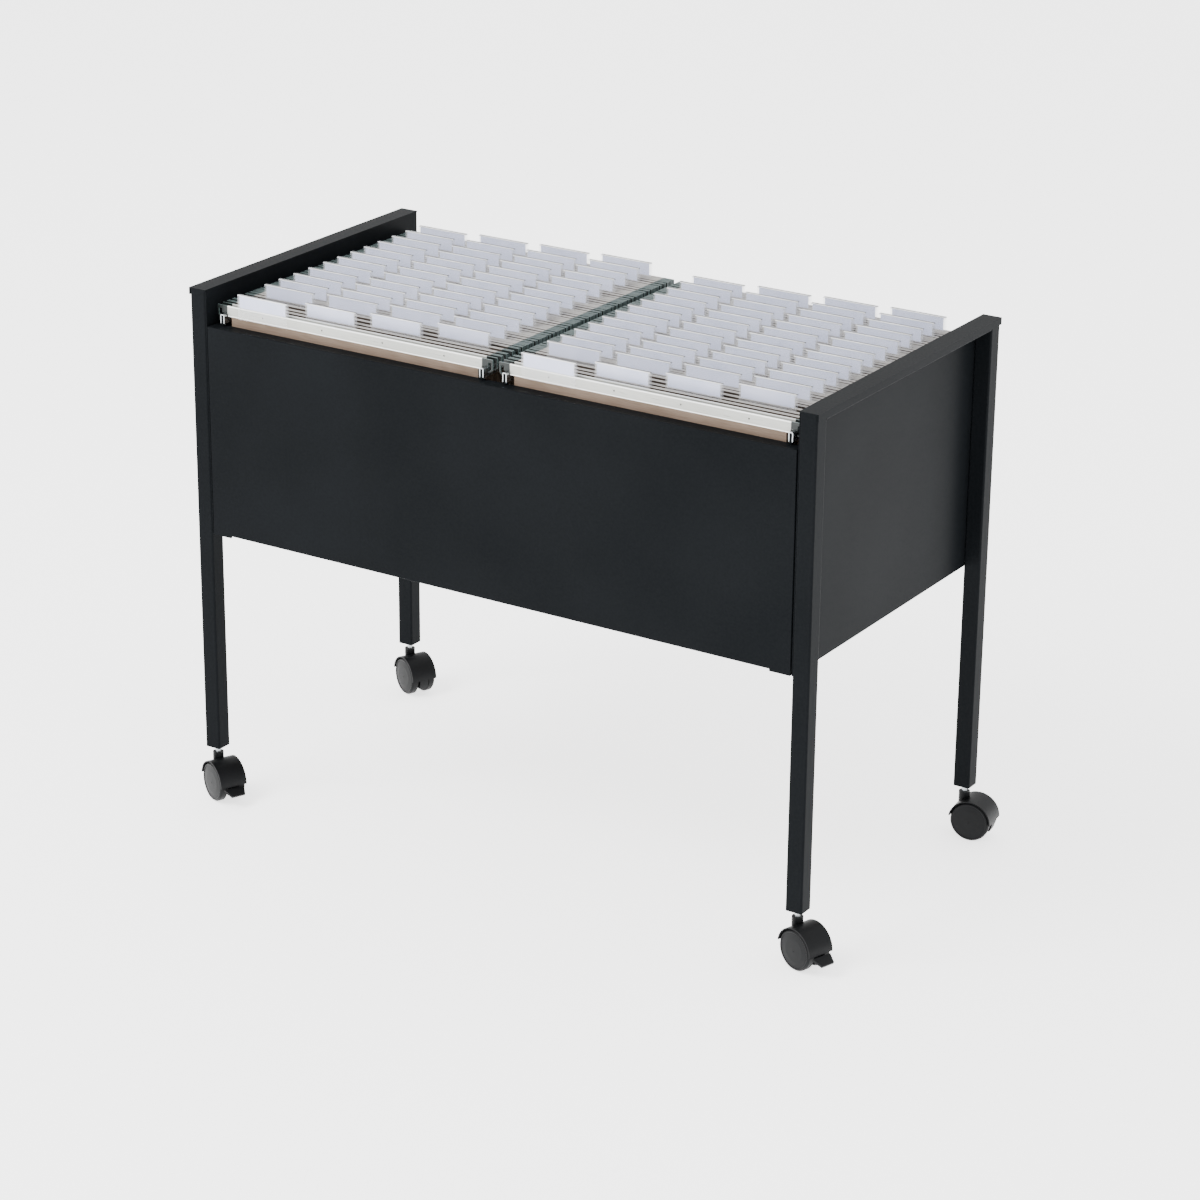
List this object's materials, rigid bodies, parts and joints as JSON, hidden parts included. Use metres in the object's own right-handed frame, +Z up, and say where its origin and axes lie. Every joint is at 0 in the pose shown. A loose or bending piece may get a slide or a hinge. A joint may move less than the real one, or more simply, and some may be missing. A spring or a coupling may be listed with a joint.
{
  "type": "hanging file rack",
  "caption": "Wheeled steel rack with open top and shallow side panels, carrying two columns of suspension files with clear index tabs on twin-wheel casters.",
  "frame": {"origin": "on the floor, midway between the four legs", "axes": "+X to the right seen from the front, +Y to the back, +Z up; the brake pedals are at the front, -Y"},
  "size_m": [0.8016, 0.4143, 0.585],
  "materials": {
    "black_powder_coat": "semi-gloss charcoal black powder coat",
    "zinc_plated_steel": "bright zinc plate",
    "file_bar_steel": "pale satin coated strip",
    "black_plastic": "matt moulded black nylon",
    "file_board": "uncoated brown file board",
    "clear_plastic": "clear glossy moulded plastic",
    "label_paper": "plain pale lavender-white paper"
  },
  "bodies": {
    "frame": {"front_left_leg": "black_powder_coat", "front_right_leg": "black_powder_coat", "rear_left_leg": "black_powder_coat", "rear_right_leg": "black_powder_coat", "left_top_rail": "black_powder_coat", "left_top_cap": "black_powder_coat", "left_end_panel": "black_powder_coat", "right_top_rail": "black_powder_coat", "right_top_cap": "black_powder_coat", "right_end_panel": "black_powder_coat", "front_panel": "black_powder_coat", "rear_panel": "black_powder_coat", "left_outer_file_rail": "zinc_plated_steel", "left_inner_file_rail": "zinc_plated_steel", "right_inner_file_rail": "zinc_plated_steel", "right_outer_file_rail": "zinc_plated_steel", "caster_stems": "zinc_plated_steel", "leg_plugs": "black_plastic"},
    "front_left_caster": {"front_left_caster_housing": "black_plastic", "front_left_caster_axle": "zinc_plated_steel"},
    "front_left_left_wheel": {"front_left_caster_left_wheel": "black_plastic"},
    "front_left_right_wheel": {"front_left_caster_right_wheel": "black_plastic"},
    "front_left_brake": {"front_left_brake_pedal": "black_plastic"},
    "front_right_caster": {"front_right_caster_housing": "black_plastic", "front_right_caster_axle": "zinc_plated_steel"},
    "front_right_left_wheel": {"front_right_caster_left_wheel": "black_plastic"},
    "front_right_right_wheel": {"front_right_caster_right_wheel": "black_plastic"},
    "front_right_brake": {"front_right_brake_pedal": "black_plastic"},
    "rear_left_caster": {"rear_left_caster_housing": "black_plastic", "rear_left_caster_axle": "zinc_plated_steel"},
    "rear_left_left_wheel": {"rear_left_caster_left_wheel": "black_plastic"},
    "rear_left_right_wheel": {"rear_left_caster_right_wheel": "black_plastic"},
    "rear_right_caster": {"rear_right_caster_housing": "black_plastic", "rear_right_caster_axle": "zinc_plated_steel"},
    "rear_right_left_wheel": {"rear_right_caster_left_wheel": "black_plastic"},
    "rear_right_right_wheel": {"rear_right_caster_right_wheel": "black_plastic"},
    "left_front_file": {"left_front_file_board": "file_board", "left_front_file_bars": "file_bar_steel", "left_front_file_tab": "clear_plastic", "left_front_file_label": "label_paper"},
    "left_files": {"left_file_boards": "file_board", "left_file_bars": "file_bar_steel", "left_file_tabs": "clear_plastic", "left_file_labels": "label_paper"},
    "right_front_file": {"right_front_file_board": "file_board", "right_front_file_bars": "file_bar_steel", "right_front_file_tab": "clear_plastic", "right_front_file_label": "label_paper"},
    "right_files": {"right_file_boards": "file_board", "right_file_bars": "file_bar_steel", "right_file_tabs": "clear_plastic", "right_file_labels": "label_paper"}
  },
  "joints": [
    {"name": "front_left_swivel", "type": "hinge", "parent": "frame", "child": "front_left_caster", "pos_m": [-0.3685, -0.1825, 0.045], "axis": [0, 0, 1], "continuous": true},
    {"name": "front_left_left_wheel_spin", "type": "hinge", "parent": "front_left_caster", "child": "front_left_left_wheel", "pos_m": [-0.35758, -0.18748, 0.022], "axis": [0.4147, 0.91, 0], "continuous": true},
    {"name": "front_left_right_wheel_spin", "type": "hinge", "parent": "front_left_caster", "child": "front_left_right_wheel", "pos_m": [-0.35758, -0.18748, 0.022], "axis": [0.4147, 0.91, 0], "continuous": true},
    {"name": "front_left_brake_press", "type": "hinge", "parent": "front_left_caster", "child": "front_left_brake", "pos_m": [-0.34393, -0.1937, 0.018], "axis": [0.4147, 0.91, 0], "range_deg": [0, 18]},
    {"name": "front_right_swivel", "type": "hinge", "parent": "frame", "child": "front_right_caster", "pos_m": [0.3685, -0.1825, 0.045], "axis": [0, 0, 1], "continuous": true},
    {"name": "front_right_left_wheel_spin", "type": "hinge", "parent": "front_right_caster", "child": "front_right_left_wheel", "pos_m": [0.37991, -0.18621, 0.022], "axis": [0.309, 0.9511, 0], "continuous": true},
    {"name": "front_right_right_wheel_spin", "type": "hinge", "parent": "front_right_caster", "child": "front_right_right_wheel", "pos_m": [0.37991, -0.18621, 0.022], "axis": [0.309, 0.9511, 0], "continuous": true},
    {"name": "front_right_brake_press", "type": "hinge", "parent": "front_right_caster", "child": "front_right_brake", "pos_m": [0.39418, -0.19084, 0.018], "axis": [0.309, 0.9511, 0], "range_deg": [0, 18]},
    {"name": "rear_left_swivel", "type": "hinge", "parent": "frame", "child": "rear_left_caster", "pos_m": [-0.3685, 0.1825, 0.045], "axis": [0, 0, 1], "continuous": true},
    {"name": "rear_left_left_wheel_spin", "type": "hinge", "parent": "rear_left_caster", "child": "rear_left_left_wheel", "pos_m": [-0.35771, 0.17724, 0.022], "axis": [0.4384, 0.8988, 0], "continuous": true},
    {"name": "rear_left_right_wheel_spin", "type": "hinge", "parent": "rear_left_caster", "child": "rear_left_right_wheel", "pos_m": [-0.35771, 0.17724, 0.022], "axis": [0.4384, 0.8988, 0], "continuous": true},
    {"name": "rear_right_swivel", "type": "hinge", "parent": "frame", "child": "rear_right_caster", "pos_m": [0.3685, 0.1825, 0.045], "axis": [0, 0, 1], "continuous": true},
    {"name": "rear_right_left_wheel_spin", "type": "hinge", "parent": "rear_right_caster", "child": "rear_right_left_wheel", "pos_m": [0.38041, 0.18396, 0.022], "axis": [-0.1219, 0.9925, 0], "continuous": true},
    {"name": "rear_right_right_wheel_spin", "type": "hinge", "parent": "rear_right_caster", "child": "rear_right_right_wheel", "pos_m": [0.38041, 0.18396, 0.022], "axis": [-0.1219, 0.9925, 0], "continuous": true},
    {"name": "left_front_file_lift", "type": "slide", "parent": "frame", "child": "left_front_file", "axis": [0, 0, 1], "range_m": [0, 0.3]},
    {"name": "left_files_lift", "type": "slide", "parent": "frame", "child": "left_files", "axis": [0, 0, 1], "range_m": [0, 0.3]},
    {"name": "right_front_file_lift", "type": "slide", "parent": "frame", "child": "right_front_file", "axis": [0, 0, 1], "range_m": [0, 0.3]},
    {"name": "right_files_lift", "type": "slide", "parent": "frame", "child": "right_files", "axis": [0, 0, 1], "range_m": [0, 0.3]}
  ]
}
